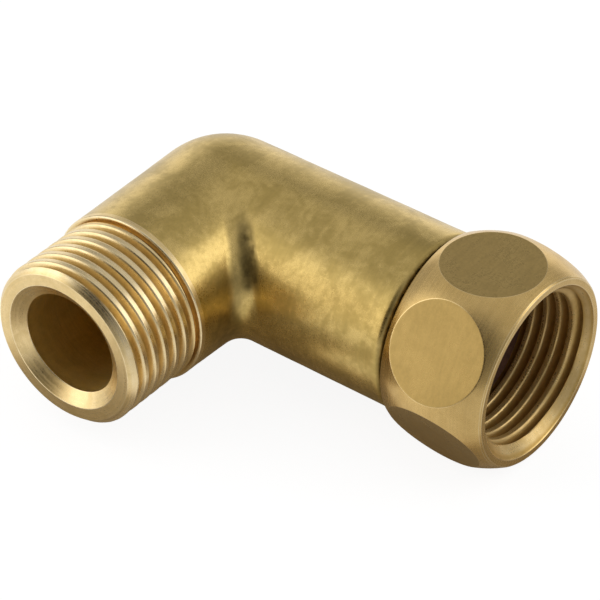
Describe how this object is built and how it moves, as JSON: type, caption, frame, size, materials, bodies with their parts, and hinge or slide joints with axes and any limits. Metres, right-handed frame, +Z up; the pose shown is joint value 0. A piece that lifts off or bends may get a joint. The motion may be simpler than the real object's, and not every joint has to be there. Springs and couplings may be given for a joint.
{
  "type": "shower hose elbow adapter",
  "caption": "Right-angled brass elbow for a shower hose, with a half-inch male thread on one leg and a loose hexagonal union nut on the other.",
  "frame": {"origin": "middle of the bounding box, at its bottom, which is the lower flat of the nut", "axes": "+X out of the nut's mouth along the nut leg, -Y out of the male leg, +Z up, square to the plane of both legs"},
  "size_m": [0.0572, 0.0438, 0.0246],
  "materials": {
    "cast_brass": "hot-forged and blasted, mottled olive-gold, with machined ends",
    "turned_brass": "satin, as turned and milled",
    "spring_bronze": "drawn phosphor bronze wire",
    "fibre": "vulcanised fibre sheet, dark red-brown, matt"
  },
  "bodies": {
    "elbow": {"elbow_body": "cast_brass", "retaining_ring": "spring_bronze", "sealing_washer": "fibre"},
    "nut": {"swivel_nut": "turned_brass"}
  },
  "joints": [
    {"name": "nut_spin", "type": "hinge", "parent": "elbow", "child": "nut", "pos_m": [0.0215, 0.00813, 0.0123], "axis": [1, 0, 0], "continuous": true}
  ]
}
